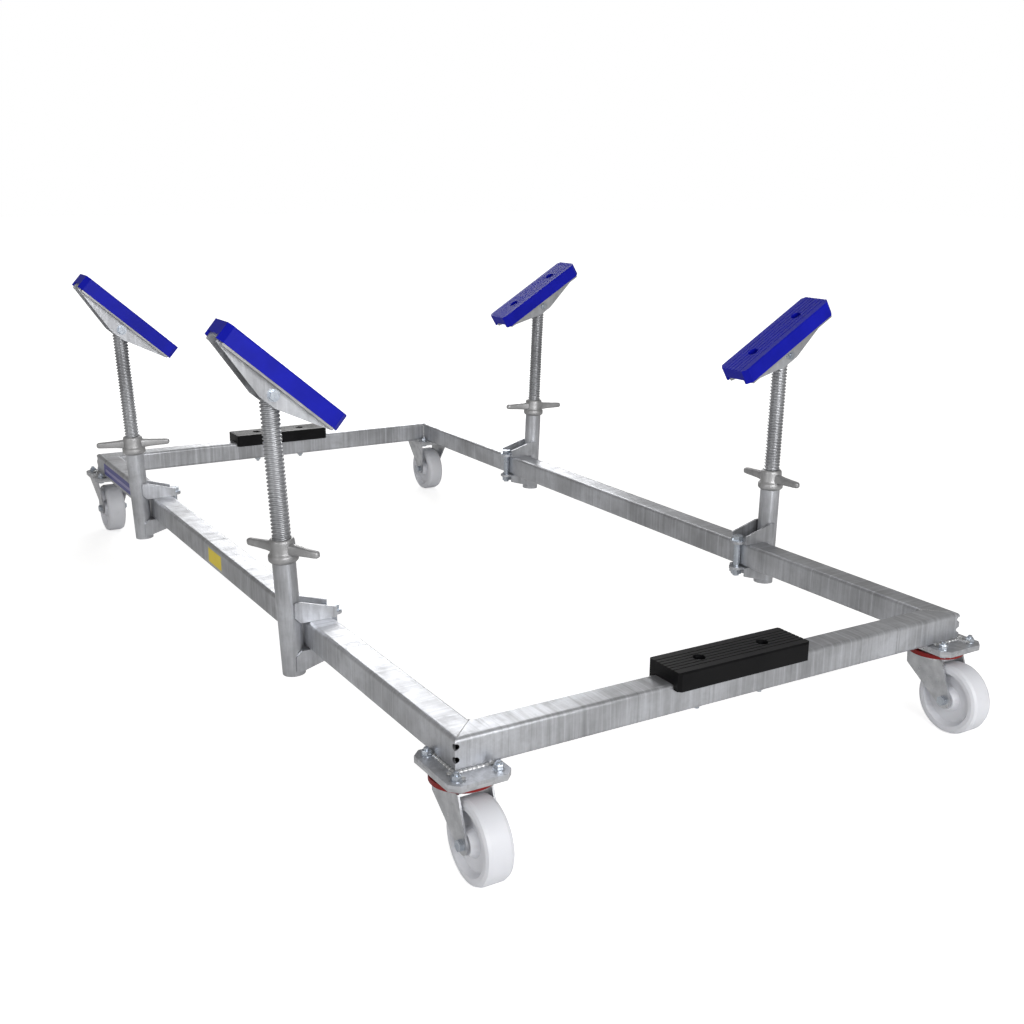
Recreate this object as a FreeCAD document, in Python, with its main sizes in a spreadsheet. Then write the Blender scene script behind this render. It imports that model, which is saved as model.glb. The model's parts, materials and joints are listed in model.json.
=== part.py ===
import FreeCAD, Part
import os
import re
import Sketcher

# A wheeled boat stand: a galvanised frame of square tube on four castors, four screw
# posts clamped on its long rails with tilting bunk pads, and two keel pads on its beams.
# Millimetres and degrees, +Z up, +Y towards the fixed castors, origin on the floor.

SIZES = {
    # frame of mitred square tube
    "frame_length": 2430,
    "frame_width": 1220,
    "tube_side": 60,
    "tube_wall": 4,
    "tube_corner": 8,
    "vent_radius": 6,
    "vent_upper_drop": 14.5,
    "vent_lower_drop": 38,
    "vent_depth": 14,
    # plates that the castors bolt to
    "plate_width": 120,
    "plate_length": 152,
    "plate_chamfer": 16,
    "weld_plate_thick": 6,
    "bolt_space_across": 80,
    "bolt_space_along": 105,
    "plate_hole_radius": 5.5,
    # castors
    "wheel_radius": 75,
    "wheel_width": 53,
    "wheel_edge": 9,
    "wheel_rim_radius": 58,
    "wheel_web": 30,
    "wheel_draft": 7,
    "hub_radius": 21,
    "hub_width": 56,
    "hub_gap": 2.5,
    "axle_radius": 6,
    "axle_play": 0.05,
    "axle_hole_play": 0.2,
    "axle_head_flats": 19,
    "axle_head_thick": 8,
    "axle_tip": 4,
    "castor_height": 184,
    "castor_trail": 60,
    "castor_plate_thick": 6,
    "race_radius": 42,
    "race_drop": 16,
    "race_gap": 0.3,
    "seal_radius": 58,
    "seal_thick": 9,
    "seal_gap": 0.3,
    "seal_drop": 6.8,
    "crown_radius": 48,
    "crown_thick": 6,
    "king_radius": 7,
    "king_play": 0.05,
    "king_nut_flats": 22,
    "king_nut_thick": 8,
    "leg_thick": 4,
    "leg_half_top": 46,
    "leg_shoulder_drop": 34,
    "leg_end_radius": 18,
    "fixed_leg_half_top": 50,
    "fixed_leg_half_length": 58,
    # moulded pads
    "pad_width": 95,
    "pad_height": 37,
    "pad_chamfer": 3,
    "pad_corner": 12,
    "bunk_length": 306,
    "keel_length": 320,
    "channel_depth": 10,
    "channel_play": 0.5,
    "pad_hole_space": 155,
    "pad_bore_radius": 12,
    "pad_bore_depth": 14,
    "pad_hole_radius": 5.5,
    "keel_bolt_radius": 5,
    "keel_bolt_head_radius": 8,
    "keel_bolt_head_thick": 6,
    "keel_bolt_tip": 15,
    "hole_play": 0.5,
    # clamps on the long rails
    "sleeve_rail_gap": 2.35,
    "sleeve_radius": 24.15,
    "sleeve_wall": 3.6,
    "sleeve_above": 158,
    "sleeve_below": 86,
    "jaw_seat_gap": 0.3,
    "jaw_thick": 6,
    "jaw_sleeve_gap": 0.3,
    "cheek_thick": 5,
    "cheek_high": 44,
    "cheek_low": 22,
    "cheek_flat": 16,
    "cheek_nick": 12,
    "cheek_past_rail": 5,
    "clamp_bolt_radius": 8,
    "clamp_bolt_gap": 1,
    "clamp_hole_play": 0.4,
    "clamp_washer_radius": 17,
    "clamp_washer_thick": 3,
    "clamp_flats": 24,
    "clamp_head_thick": 10,
    "clamp_nut_thick": 13,
    "clamp_tip": 5,
    "tongue_radius": 18,
    # jack screws and wing nuts
    "screw_radius": 19.5,
    "screw_length": 560,
    "screw_bore_radius": 13,
    "screw_solid_top": 60,
    "screw_past_pivot": 14,
    "pivot_play": 0.1,
    "nut_gap": 0.3,
    "nut_play": 0.05,
    "nut_height": 50,
    "nut_seat_radius": 25,
    "nut_flange_radius": 31,
    "nut_flange_rise": 5,
    "nut_flange_thick": 12,
    "nut_neck_radius": 26,
    "wing_reach": 98,
    "wing_root_height": 24,
    "wing_tip_height": 16,
    "wing_root_thick": 20,
    "wing_tip_thick": 14,
    "wing_rise": 29,
    # tilting pad brackets
    "bracket_width": 60,
    "bracket_thick": 4,
    "bracket_half_length": 148,
    "web_rise": 29,
    "ear_end_depth": 14,
    "ear_drop": 19,
    "ear_nose": 20,
    "pad_shift": -5,
    "pad_gap": 0.2,
    "pivot_radius": 6,
    "pivot_hole_play": 0.2,
    "pivot_flats": 19,
    "pivot_head_thick": 8,
    "pivot_washer_radius": 13,
    "pivot_washer_thick": 2.5,
    "pivot_tip": 4,
    # where each post is set: along its rail, outward lean, pivot height, pad tilt, nut turn
    "front_left_along": -557,
    "front_left_lean": 3.05,
    "front_left_rise": 505,
    "front_left_tilt": 40.3,
    "front_left_turn": -65,
    "front_right_along": -585,
    "front_right_lean": 0.93,
    "front_right_rise": 500,
    "front_right_tilt": 31.3,
    "front_right_turn": -90,
    "rear_left_along": 585,
    "rear_left_lean": 2.9,
    "rear_left_rise": 506,
    "rear_left_tilt": 41.5,
    "rear_left_turn": -22,
    "rear_right_along": 547,
    "rear_right_lean": 2.13,
    "rear_right_rise": 514,
    "rear_right_tilt": 31.5,
    "rear_right_turn": -4,
}

# Formulas that several pieces share, in terms of the sizes above.
SHARED = {
    "frame_y": "(castor_trail / 2)",
    "post_offset": "(tube_side / 2 + sleeve_rail_gap + sleeve_radius)",
    "tube_bottom": "(castor_height + weld_plate_thick)",
    "tube_top": "(castor_height + weld_plate_thick + tube_side)",
    "rail_mid": "(castor_height + weld_plate_thick + tube_side / 2)",
    "corner_x": "(frame_width / 2 - tube_side / 2)",
    "corner_y": "(frame_length / 2 - tube_side / 2)",
    "leg_inner": "(hub_width / 2 + hub_gap)",
    "leg_outer": "(hub_width / 2 + hub_gap + leg_thick)",
    "crown_top": "(castor_height - castor_plate_thick - race_drop - race_gap)",
    "jaw_seat": "(tube_side / 2 + jaw_seat_gap)",
    "cheek_inner": "(sleeve_radius + jaw_sleeve_gap)",
    "cheek_outer": "(sleeve_radius + jaw_sleeve_gap + cheek_thick)",
    "cheek_end": "(tube_side + sleeve_rail_gap + sleeve_radius + cheek_past_rail)",
    "clamp_bolt_x": "(tube_side + sleeve_rail_gap + sleeve_radius + clamp_bolt_gap + clamp_bolt_radius)",
    "pad_base": "(web_rise + pad_gap - channel_depth)",
}

CORNERS = (("front", -1, "left", -1), ("front", -1, "right", 1),
           ("rear", 1, "left", -1), ("rear", 1, "right", 1))

doc = FreeCAD.newDocument("boat_stand")
sheet = doc.addObject("Spreadsheet::Sheet", "Size")
for row, (alias, value) in enumerate(SIZES.items(), start=1):
    sheet.set("A%d" % row, str(value))
    sheet.setAlias("A%d" % row, alias)
doc.recompute()

nodes = []


def formula(text):
    """Spell out shared formulas, then point each size at its cell in the sheet."""
    for _ in range(2):
        text = re.sub(r"[a-z_]+", lambda m: SHARED.get(m.group(0), m.group(0)), text)
    return re.sub(r"[a-z_]+", lambda m: "Size." + m.group(0) if m.group(0) in SIZES else m.group(0), text)


def number(text):
    """The value of a formula now, for a sketch's first drawing and for fillets."""
    probe = re.sub(r"[a-z_]+", lambda m: SHARED.get(m.group(0), m.group(0)), text)
    probe = re.sub(r"[a-z_]+", lambda m: SHARED.get(m.group(0), m.group(0)), probe)
    sheet.set("C1", "=" + probe)
    doc.recompute([sheet])
    value = sheet.get("C1")
    sheet.clear("C1")
    return float(getattr(value, "Value", value))


def bind(item, **sizes):
    for prop, text in sizes.items():
        item.setExpression(prop, formula(text))
    return item


def at(item, x="0", y="0", z="0", turn="rotation(vector(0; 0; 1); 0)"):
    item.setExpression("Placement", formula("placement(vector(%s; %s; %s); %s)" % (x, y, z, turn)))
    return item


def about(axis, angle):
    return "rotation(vector(%d; %d; %d); %s)" % (axis[0], axis[1], axis[2], angle)


TO_X = about((0, 1, 0), "90")
TO_Y = about((1, 0, 0), "-90")
VIEWS = {
    "top": FreeCAD.Rotation(),
    "front": FreeCAD.Rotation(FreeCAD.Vector(1, 0, 0), 90),
    "side": FreeCAD.Rotation(FreeCAD.Vector(0.57735, 0.57735, 0.57735), 120),
}


def outline(name, view, points):
    """A closed sketch of straight edges whose corners are bound to formulas.

    view says which plane it lies in: top is X and Y, front is X and Z, side is Y and Z.
    """
    sketch = doc.addObject("Sketcher::SketchObject", name)
    sketch.Placement = FreeCAD.Placement(FreeCAD.Vector(), VIEWS[view])
    spots = [(number(first), number(second)) for first, second in points]
    count = len(points)
    for index in range(count):
        start = FreeCAD.Vector(*spots[index], 0)
        end = FreeCAD.Vector(*spots[(index + 1) % count], 0)
        sketch.addGeometry(Part.LineSegment(start, end), False)
    for index in range(count):
        sketch.addConstraint(Sketcher.Constraint("Coincident", index, 2, (index + 1) % count, 1))
    for index in range(count):
        for kind, which in (("DistanceX", 0), ("DistanceY", 1)):
            rule = Sketcher.Constraint(kind, -1, 1, index, 1, spots[index][which])
            number_of_rule = sketch.addConstraint(rule)
            sketch.setExpression("Constraints[%d]" % number_of_rule, formula(points[index][which]))
    return sketch


def prism(name, view, points, depth):
    """The outline pushed out by depth, half to each side of its plane."""
    solid = doc.addObject("Part::Extrusion", name)
    solid.Base = outline(name + "_outline", view, points)
    solid.DirMode = "Normal"
    solid.Solid = True
    solid.Symmetric = True
    return bind(solid, LengthFwd=depth)


def turned(name, points):
    """A solid of revolution about Z from (radius, height) corners."""
    solid = doc.addObject("Part::Revolution", name)
    solid.Source = outline(name + "_outline", "front", points)
    solid.Axis = FreeCAD.Vector(0, 0, 1)
    solid.Angle = 360
    solid.Solid = True
    return solid


def rod(name, radius, height, *spot, turn="rotation(vector(0; 0; 1); 0)"):
    return at(bind(doc.addObject("Part::Cylinder", name), Radius=radius, Height=height), *spot, turn=turn)


def block(name, length, width, height, *spot):
    """A box centred on its spot in X and Y, standing on it in Z."""
    solid = bind(doc.addObject("Part::Box", name), Length=length, Width=width, Height=height)
    x, y, z = spot
    return at(solid, "%s - (%s) / 2" % (x, length), "%s - (%s) / 2" % (y, width), z)


def hexagon(name, flats, height, *spot, turn="rotation(vector(0; 0; 1); 0)"):
    solid = bind(doc.addObject("Part::Prism", name), Circumradius=flats + " / sqrt(3)", Height=height)
    return at(solid, *spot, turn=turn)


def join(name, pieces):
    solid = doc.addObject("Part::MultiFuse", name)
    solid.Shapes = pieces
    return solid


def shared(name, pieces):
    solid = doc.addObject("Part::MultiCommon", name)
    solid.Shapes = pieces
    return solid


def cut(name, base, tools):
    solid = doc.addObject("Part::Cut", name)
    solid.Base = base
    solid.Tool = tools[0] if len(tools) == 1 else join(name + "_tools", tools)
    return solid


def group(name, pieces):
    solid = doc.addObject("Part::Compound", name)
    solid.Links = pieces
    return solid


def node(label, item):
    item.Label = label
    nodes.append(item)
    return item


# ---------------------------------------------------------------- frame

def soften_long_edges(name, item, along):
    """Round the four long edges of a tube that runs along the axis with that index."""
    doc.recompute()
    radius = number("tube_corner")
    chosen = []
    for index, edge in enumerate(item.Shape.Edges, start=1):
        direction = edge.tangentAt(edge.FirstParameter)
        if abs(direction[along]) > 0.999:
            chosen.append((index, radius, radius))
    rounded = doc.addObject("Part::Fillet", name)
    rounded.Base = item
    rounded.Edges = chosen
    return rounded


def tube_side_member(label, side, long_way):
    """One mitred tube. long_way members are the rails at +X or -X, the rest are beams."""
    half_long = "frame_length / 2" if long_way else "frame_width / 2"
    half_across = "frame_width / 2" if long_way else "frame_length / 2"

    def trapezium(inset, past):
        near = "%d * (%s - (%s))" % (side, half_across, inset)
        far = "%d * (%s - tube_side + (%s))" % (side, half_across, inset)
        long_end = "(%s - (%s) + %s)" % (half_long, inset, past)
        short_end = "(%s - tube_side + (%s) + %s)" % (half_long, inset, past)
        corners = [(near, "-" + long_end), (far, "-" + short_end), (far, short_end), (near, long_end)]
        return corners if long_way else [(second, first) for first, second in corners]

    outer = prism(label + "_outer", "top", trapezium("0", "0"), "tube_side")
    outer = soften_long_edges(label + "_rounded", outer, 1 if long_way else 0)
    hollow = prism(label + "_hollow", "top", trapezium("tube_wall", "1"), "tube_side - 2 * tube_wall")
    holes = []
    for end in (-1, 1):
        corner_x = side if long_way else end
        corner_y = end if long_way else side
        heading = {(-1, -1): 45, (1, -1): 135, (1, 1): 225, (-1, 1): 315}[(corner_x, corner_y)]
        for level in ("upper", "lower"):
            holes.append(rod("%s_vent_%s_%d" % (label, level, end), "vent_radius", "vent_depth",
                             "%d * (frame_width / 2 - 4) - (%d) * 6" % (corner_x, corner_x),
                             "%d * (frame_length / 2 - 4) - (%d) * 6" % (corner_y, corner_y),
                             "tube_side / 2 - vent_%s_drop" % level,
                             turn=about((0, 0, 1), str(heading + 180)) + " * " + TO_X))
    if not long_way:
        for end in (-1, 1):
            holes.append(rod("%s_bolt_way_%d" % (label, end), "keel_bolt_radius + hole_play", "2 * tube_side",
                             "%d * pad_hole_space / 2" % end,
                             "%d * corner_y" % side, "-tube_side"))
    member = cut(label + "_tube", outer, [hollow] + holes)
    return node(label, at(member, "0", "frame_y", "rail_mid"))


tube_side_member("left_rail", -1, True)
tube_side_member("right_rail", 1, True)
tube_side_member("front_beam", -1, False)
tube_side_member("rear_beam", 1, False)


def plate_outline():
    """The castor plate seen from above, with its four corners cut off."""
    half_x, half_y, cut_off = "plate_width / 2", "plate_length / 2", "plate_chamfer"
    corners = []
    for sign_x, sign_y in ((1, 1), (-1, 1), (-1, -1), (1, -1)):
        on_side = ("%d * %s" % (sign_x, half_x), "%d * (%s - %s)" % (sign_y, half_y, cut_off))
        on_end = ("%d * (%s - %s)" % (sign_x, half_x, cut_off), "%d * %s" % (sign_y, half_y))
        corners += [on_side, on_end] if sign_x * sign_y > 0 else [on_end, on_side]
    return corners


def bolted_plate(name, thick, level):
    """A plate with the four castor bolt holes, its underside at the given level."""
    slab = at(prism(name + "_slab", "top", plate_outline(), thick), "0", "0", "%s + %s / 2" % (level, thick))
    holes = [rod("%s_hole_%d_%d" % (name, i, j), "plate_hole_radius", "4 * " + thick,
                 "%d * bolt_space_across / 2" % i, "%d * bolt_space_along / 2" % j, level + " - " + thick)
             for i in (-1, 1) for j in (-1, 1)]
    return slab, holes


def castor_spot(item, side, end):
    return at(item, "%d * corner_x" % side, "%d * corner_y + frame_y" % end, "0")


for end_word, end, side_word, side in CORNERS:
    name = "mounting_plate_%s_%s" % (end_word, side_word)
    slab, holes = bolted_plate(name, "weld_plate_thick", "castor_height")
    node(name, castor_spot(cut(name + "_cut", slab, holes), side, end))


# ---------------------------------------------------------------- castors

def wheel(label, side, end, trail):
    """A moulded wheel with rounded tread edges, dished sides and a boss each side."""
    half, hub_half, web_half = "wheel_width / 2", "hub_width / 2", "wheel_web / 2"
    bore = "axle_radius + axle_play"
    upper = [("wheel_radius", half + " - wheel_edge"), ("wheel_radius - 0.3 * wheel_edge", half + " - 0.3 * wheel_edge"),
             ("wheel_radius - wheel_edge", half), ("wheel_rim_radius", half),
             ("wheel_rim_radius - wheel_draft", web_half), ("hub_radius + wheel_draft", web_half),
             ("hub_radius", hub_half), (bore, hub_half)]
    lower = [(radius, "-(%s)" % height) for radius, height in reversed(upper)]
    body = turned(label + "_turned", upper + lower)
    return node(label, at(body, "%d * corner_x" % side, "%d * corner_y + frame_y - (%s)" % (end, trail),
                          "wheel_radius", turn=TO_X))


def axle(label, side, end, trail):
    """The wheel's bolt: head outboard of one leg, nut outboard of the other."""
    pieces = [rod(label + "_shank", "axle_radius", "2 * leg_outer + axle_head_thick + axle_tip", "0", "0",
                  "-leg_outer"),
              hexagon(label + "_head", "axle_head_flats", "axle_head_thick", "0", "0", "-leg_outer - axle_head_thick"),
              hexagon(label + "_nut", "axle_head_flats", "axle_head_thick", "0", "0", "leg_outer")]
    bolt = join(label + "_bolt", pieces)
    return node(label, at(bolt, "%d * corner_x" % side, "%d * corner_y + frame_y - (%s)" % (end, trail),
                          "wheel_radius", turn=TO_X))


def swivel_castor(side_word, side):
    where = "front_" + side_word
    # top plate with the race under it and the king pin through the crown
    name = "castor_plate_" + where
    slab, holes = bolted_plate(name, "castor_plate_thick", "castor_height - castor_plate_thick")
    under = "castor_height - castor_plate_thick"
    race = rod(name + "_race", "race_radius", "race_drop", "0", "0", under + " - race_drop")
    pin = rod(name + "_pin", "king_radius", "race_drop + race_gap + crown_thick + race_gap + king_nut_thick",
              "0", "0", "crown_top - crown_thick - race_gap - king_nut_thick")
    nut = hexagon(name + "_nut", "king_nut_flats", "king_nut_thick", "0", "0",
                  "crown_top - crown_thick - race_gap - king_nut_thick")
    node(name, castor_spot(cut(name + "_cut", join(name + "_body", [slab, race, pin, nut]), holes), side, -1))

    # crown and two legs, which reach back to the trailing axle
    name = "castor_fork_" + where
    crown = rod(name + "_crown", "crown_radius", "crown_thick", "0", "0", "crown_top - crown_thick")
    shoulder = "crown_top - leg_shoulder_drop"
    leg_shape = [("-leg_half_top", "crown_top - crown_thick / 2"),
                 ("-castor_trail - leg_end_radius", "wheel_radius"),
                 ("-castor_trail + leg_end_radius * 0.8", "wheel_radius - leg_end_radius * 0.6"),
                 ("leg_half_top - 2", shoulder), ("leg_half_top", "crown_top - crown_thick / 2")]
    legs = []
    for hand in (-1, 1):
        leg = at(prism("%s_leg_%d" % (name, hand), "side", leg_shape, "leg_thick"),
                 "%d * (leg_inner + leg_thick / 2)" % hand)
        end_disc = rod("%s_end_%d" % (name, hand), "leg_end_radius", "leg_thick",
                       "%d * (leg_inner + leg_thick / 2) - leg_thick / 2" % hand, "-castor_trail", "wheel_radius",
                       turn=TO_X)
        legs += [leg, end_disc]
    ways = [rod(name + "_pin_way", "king_radius + king_play", "4 * crown_thick", "0", "0", "crown_top - 2 * crown_thick"),
            rod(name + "_axle_way", "axle_radius + axle_hole_play", "4 * leg_outer", "-2 * leg_outer",
                "-castor_trail", "wheel_radius", turn=TO_X)]
    node(name, castor_spot(cut(name + "_cut", join(name + "_body", [crown] + legs), ways), side, -1))
    axle("axle_" + where, side, -1, "castor_trail")
    wheel("wheel_" + where, side, -1, "castor_trail")


def seal_rings():
    """The dust seals round both swivel races, one ring each."""
    rings = []
    for side in (-1, 1):
        level = "castor_height - castor_plate_thick - seal_drop - seal_thick"
        ring = cut("seal_ring_%d" % side,
                   rod("seal_outer_%d" % side, "seal_radius", "seal_thick", "0", "0", level),
                   [rod("seal_inner_%d" % side, "race_radius + seal_gap", "3 * seal_thick", "0", "0",
                        level + " - seal_thick")])
        rings.append(castor_spot(ring, side, -1))
    return node("swivel_seals", group("seal_pair", rings))


def fixed_castor(side_word, side):
    """One pressed bracket: a plate whose two legs lean in towards the axle."""
    where = "rear_" + side_word
    name = "castor_bracket_" + where
    slab, holes = bolted_plate(name, "castor_plate_thick", "castor_height - castor_plate_thick")
    top = "castor_height - castor_plate_thick / 2"
    foot = "wheel_radius - leg_end_radius"
    front_shape = []
    for hand in (1, -1):
        leg = [("%d * (fixed_leg_half_top + leg_thick)" % hand, top), ("%d * leg_outer" % hand, "wheel_radius + leg_end_radius"),
               ("%d * leg_outer" % hand, foot), ("%d * leg_inner" % hand, foot),
               ("%d * leg_inner" % hand, "wheel_radius + leg_end_radius"), ("%d * fixed_leg_half_top" % hand, top)]
        front_shape.append(prism("%s_front_%d" % (name, hand), "front", leg, "plate_length"))
    side_shape = prism(name + "_side", "side",
                       [("-fixed_leg_half_length", top), ("-leg_end_radius", "wheel_radius"),
                        ("-leg_end_radius * 0.6", foot + " + leg_end_radius * 0.2"), ("0", foot),
                        ("leg_end_radius * 0.6", foot + " + leg_end_radius * 0.2"),
                        ("leg_end_radius", "wheel_radius"), ("fixed_leg_half_length", top)], "2 * plate_width")
    legs = [shared("%s_leg_%d" % (name, index), [front, side_shape]) for index, front in enumerate(front_shape)]
    way = rod(name + "_axle_way", "axle_radius + axle_hole_play", "4 * leg_outer", "-2 * leg_outer", "0",
              "wheel_radius", turn=TO_X)
    body = join(name + "_body", [slab] + legs)
    node(name, castor_spot(cut(name + "_cut", body, holes + [way]), side, 1))
    axle("axle_" + where, side, 1, "0")
    wheel("wheel_" + where, side, 1, "0")


for side_word, side in (("left", -1), ("right", 1)):
    swivel_castor(side_word, side)
    fixed_castor(side_word, side)
seal_rings()


# ---------------------------------------------------------------- pads

def moulded_pad(name, length):
    """A pad with chamfered ends and edges, a channel beneath and two counterbored holes.

    Its skirts start at height 0, its channel's roof is at channel_depth.
    """
    half, wide = "(%s) / 2" % length, "pad_width / 2"
    end_shape = [("-" + wide, "0"), (wide, "0"), (wide, "pad_height - pad_chamfer"),
                 (wide + " - pad_chamfer", "pad_height"), ("-%s + pad_chamfer" % wide, "pad_height"),
                 ("-" + wide, "pad_height - pad_chamfer")]
    plan_shape = []
    for sign_x, sign_y in ((1, 1), (-1, 1), (-1, -1), (1, -1)):
        on_side = ("%d * (%s - pad_corner)" % (sign_x, half), "%d * %s" % (sign_y, wide))
        on_end = ("%d * %s" % (sign_x, half), "%d * (%s - pad_corner)" % (sign_y, wide))
        plan_shape += [on_end, on_side] if sign_x * sign_y > 0 else [on_side, on_end]
    body = shared(name + "_body", [prism(name + "_ends", "side", end_shape, length),
                                   prism(name + "_plan", "top", plan_shape, "4 * pad_height")])
    tools = [block(name + "_channel", length + " + 2", "tube_side + 2 * channel_play", "2 * channel_depth",
                   "0", "0", "-channel_depth")]
    for end in (-1, 1):
        x = "%d * pad_hole_space / 2" % end
        tools.append(rod("%s_bore_%d" % (name, end), "pad_bore_radius", "2 * pad_bore_depth", x, "0",
                         "pad_height - pad_bore_depth"))
        tools.append(rod("%s_hole_%d" % (name, end), "pad_hole_radius", "2 * pad_height", x, "0", "0"))
    return cut(name + "_cut", body, tools)


bolts = []
for end_word, end in (("front", -1), ("rear", 1)):
    name = end_word + "_keel_pad"
    seat = "tube_top - channel_depth"
    node(name, at(moulded_pad(name, "keel_length"), "0", "%d * corner_y + frame_y" % end, seat))
    for hand in (-1, 1):
        tag = "keel_bolt_%s_%d" % (end_word, hand)
        head_level = seat + " + pad_height - pad_bore_depth"
        shank = rod(tag + "_shank", "keel_bolt_radius", head_level + " - tube_bottom + keel_bolt_tip", "0", "0",
                    "tube_bottom - keel_bolt_tip")
        head = rod(tag + "_head", "keel_bolt_head_radius", "keel_bolt_head_thick", "0", "0", head_level)
        bolts.append(at(join(tag, [shank, head]), "%d * pad_hole_space / 2" % hand,
                        "%d * corner_y + frame_y" % end, "0"))
node("keel_pad_bolts", group("keel_bolt_set", bolts))


# ---------------------------------------------------------------- screw posts

def post(end_word, side_word, side):
    """A clamped sleeve, its jack screw, wing nut and tilting pad.

    Local X points from the sleeve towards the frame's centre line and local Z is up.
    """
    where = end_word + "_" + side_word
    lean = where + "_lean"
    facing = about((0, 0, 1), "0" if side < 0 else "180")
    upright = facing + " * " + about((0, 1, 0), "-" + lean)
    base = ("%d * (corner_x + post_offset)" % side, where + "_along + frame_y", "rail_mid")
    outward = "%d * sin(%s)" % (side, lean)

    def up_the_post(distance):
        return (base[0] + " + %s * (%s)" % (outward, distance), base[1],
                base[2] + " + cos(%s) * (%s)" % (lean, distance))

    # sleeve
    name = "post_sleeve_" + where
    length = "(sleeve_above + sleeve_below)"
    sleeve = cut(name + "_cut", rod(name + "_outer", "sleeve_radius", length, "0", "0", "-sleeve_below"),
                 [rod(name + "_inner", "sleeve_radius - sleeve_wall", "2 * " + length, "0", "0",
                      "-2 * sleeve_below")])
    node(name, at(sleeve, *base, turn=upright))

    # clamp jaws: a channel over the rail and a like one under it
    name = "clamp_jaws_" + where
    jaws = []
    for hand, word in ((1, "upper"), (-1, "lower")):
        tag = "%s_%s" % (name, word)
        height = lambda text: "%d * (jaw_seat + %s)" % (hand, text)
        cheek = [("cheek_nick", height("0")), ("cheek_end", height("0")), ("cheek_end", height("cheek_low")),
                 ("cheek_flat", height("cheek_high")), ("0", height("cheek_high")), ("0", height("cheek_nick"))]
        pieces = [at(prism("%s_cheek_%d" % (tag, near), "front", cheek, "cheek_thick"), "0",
                     "%d * (cheek_inner + cheek_thick / 2)" % near) for near in (-1, 1)]
        web_level = height("jaw_thick / 2") + " - jaw_thick / 2"
        pieces.append(block(tag + "_web", "cheek_end - cheek_nick", "2 * cheek_outer - 0.2", "jaw_thick",
                            "(cheek_end + cheek_nick) / 2", "0", web_level))
        pieces.append(block(tag + "_tongue", "tongue_radius", "2 * tongue_radius", "jaw_thick",
                            "clamp_bolt_x - tongue_radius / 2", "0", web_level))
        pieces.append(rod(tag + "_tongue_end", "tongue_radius", "jaw_thick", "clamp_bolt_x", "0", web_level))
        jaws.append(join(tag, pieces))
    tools = [rod(name + "_sleeve_way", "sleeve_radius + jaw_sleeve_gap", "2 * " + length, "0", "0", "0",
                 turn=about((0, 1, 0), "-" + lean)),
             rod(name + "_sleeve_way_down", "sleeve_radius + jaw_sleeve_gap", "2 * " + length, "0", "0", "0",
                 turn=about((0, 1, 0), "180 - " + lean)),
             rod(name + "_bolt_way", "clamp_bolt_radius + clamp_hole_play", "4 * tube_side", "clamp_bolt_x", "0",
                 "-2 * tube_side")]
    node(name, at(cut(name + "_cut", group(name + "_pair", jaws), tools), *base, turn=facing))

    # clamp bolt
    name = "clamp_bolt_" + where
    reach = "(jaw_seat + jaw_thick)"
    pieces = [rod(name + "_shank", "clamp_bolt_radius", "2 * %s + clamp_nut_thick + clamp_tip" % reach,
                  "0", "0", "-%s - clamp_nut_thick - clamp_tip" % reach),
              rod(name + "_washer", "clamp_washer_radius", "clamp_washer_thick", "0", "0", reach),
              hexagon(name + "_head", "clamp_flats", "clamp_head_thick", "0", "0", reach + " + clamp_washer_thick"),
              hexagon(name + "_nut", "clamp_flats", "clamp_nut_thick", "0", "0", "-%s - clamp_nut_thick" % reach)]
    bolt = join(name + "_body", pieces)
    node(name, at(bolt, base[0] + " - (%d) * clamp_bolt_x" % side, base[1], base[2]))

    # jack screw, solid at its head, bored from its foot, with the pivot's cross hole
    name = "jack_screw_" + where
    head = "screw_past_pivot"
    bore_length = "(screw_length - screw_solid_top)"
    screw = cut(name + "_cut",
                rod(name + "_bar", "screw_radius", "screw_length", "0", "0", head + " - screw_length"),
                [rod(name + "_bore", "screw_bore_radius", "2 * " + bore_length, "0", "0",
                     "%s - screw_length - %s" % (head, bore_length)),
                 rod(name + "_pivot_way", "pivot_radius + pivot_play", "4 * screw_radius", "0",
                     "-2 * screw_radius", "0", turn=TO_Y)])
    node(name, at(screw, *up_the_post(where + "_rise"), turn=upright))

    # wing nut, standing on the sleeve
    name = "wing_nut_" + where
    bore = "screw_radius + nut_play"
    flange_top = "nut_flange_rise + nut_flange_thick"
    collar = turned(name + "_collar",
                    [(bore, "0"), ("nut_seat_radius", "0"), ("nut_flange_radius", "nut_flange_rise"),
                     ("nut_flange_radius", flange_top), ("nut_neck_radius", flange_top + " + 6"),
                     ("nut_neck_radius", "nut_height - 3"), ("nut_neck_radius - 3", "nut_height"),
                     (bore, "nut_height")])
    wings = []
    for hand in (0, 180):
        wing = bind(doc.addObject("Part::Wedge", "%s_wing_%d" % (name, hand)),
                    Ymin="screw_radius + 3", Ymax="wing_reach",
                    Xmin="-wing_root_thick / 2", Xmax="wing_root_thick / 2",
                    Zmin="wing_rise - wing_root_height / 2", Zmax="wing_rise + wing_root_height / 2",
                    X2min="-wing_tip_thick / 2", X2max="wing_tip_thick / 2",
                    Z2min="wing_rise - wing_tip_height / 2", Z2max="wing_rise + wing_tip_height / 2")
        wings.append(at(wing, turn=about((0, 0, 1), str(hand - 90))))
    way = rod(name + "_way", bore, "2 * nut_height", "0", "0", "-nut_height / 2")
    nut = cut(name + "_cut", join(name + "_body", [collar] + wings), [way])
    spin = upright + " * " + about((0, 0, 1), where + "_turn" + ("" if side < 0 else " + 180"))
    node(name, at(nut, *up_the_post("sleeve_above + nut_gap"), turn=spin))

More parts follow.
